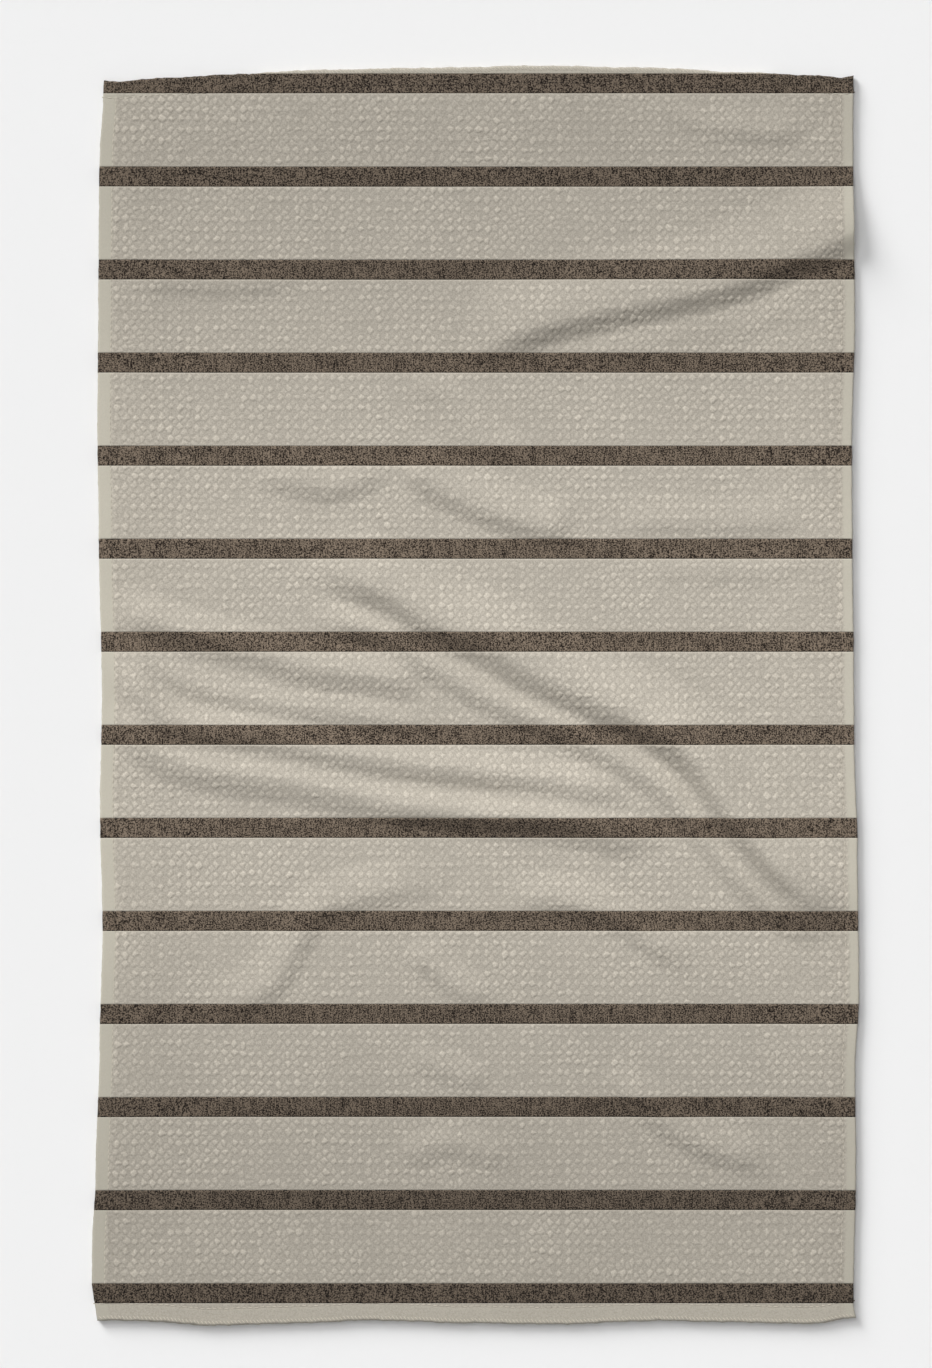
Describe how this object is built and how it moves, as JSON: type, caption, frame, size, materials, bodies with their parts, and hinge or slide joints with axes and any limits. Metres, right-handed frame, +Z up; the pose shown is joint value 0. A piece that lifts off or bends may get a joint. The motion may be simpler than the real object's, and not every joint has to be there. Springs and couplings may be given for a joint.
{
  "type": "golf towel",
  "caption": "Rectangular waffle-weave golf towel lying flat with soft creases, narrow dark woven stripes across its width, turned hems and overlocked ends.",
  "frame": {"origin": "on the surface that the towel lies on, under the middle of its outline", "axes": "+X across the towel to its right side, +Y along its length to its top end, +Z up from its face"},
  "size_m": [0.386, 0.6339, 0.0099],
  "materials": {
    "waffle_cloth": "matte waffle-woven microfibre, oatmeal",
    "stripe_cloth": "matte flat-woven heathered dark brown yarn",
    "hem_cloth": "matte plain-woven cloth, folded under",
    "seam_thread": "spun polyester sewing thread, satin",
    "overlock_thread": "textured polyester overlock thread, matte"
  },
  "bodies": {
    "root": {"bottom_hem_bobbin_thread": "seam_thread", "bottom_hem_needle_thread": "seam_thread", "bottom_hem_turning": "hem_cloth", "bottom_overlock_thread": "overlock_thread", "bottom_plain_end": "waffle_cloth", "left_hem_bobbin_thread": "seam_thread", "left_hem_needle_thread": "seam_thread", "left_hem_turning": "hem_cloth", "right_hem_bobbin_thread": "seam_thread", "right_hem_needle_thread": "seam_thread", "right_hem_turning": "hem_cloth", "stripe_01": "stripe_cloth", "stripe_02": "stripe_cloth", "stripe_03": "stripe_cloth", "stripe_04": "stripe_cloth", "stripe_05": "stripe_cloth", "stripe_06": "stripe_cloth", "stripe_07": "stripe_cloth", "stripe_08": "stripe_cloth", "stripe_09": "stripe_cloth", "stripe_10": "stripe_cloth", "stripe_11": "stripe_cloth", "stripe_12": "stripe_cloth", "stripe_13": "stripe_cloth", "stripe_14": "stripe_cloth", "top_hem_bobbin_thread": "seam_thread", "top_hem_needle_thread": "seam_thread", "top_hem_turning": "hem_cloth", "top_overlock_thread": "overlock_thread", "top_plain_end": "waffle_cloth", "waffle_band_01": "waffle_cloth", "waffle_band_02": "waffle_cloth", "waffle_band_03": "waffle_cloth", "waffle_band_04": "waffle_cloth", "waffle_band_05": "waffle_cloth", "waffle_band_06": "waffle_cloth", "waffle_band_07": "waffle_cloth", "waffle_band_08": "waffle_cloth", "waffle_band_09": "waffle_cloth", "waffle_band_10": "waffle_cloth", "waffle_band_11": "waffle_cloth", "waffle_band_12": "waffle_cloth", "waffle_band_13": "waffle_cloth"}
  },
  "joints": []
}
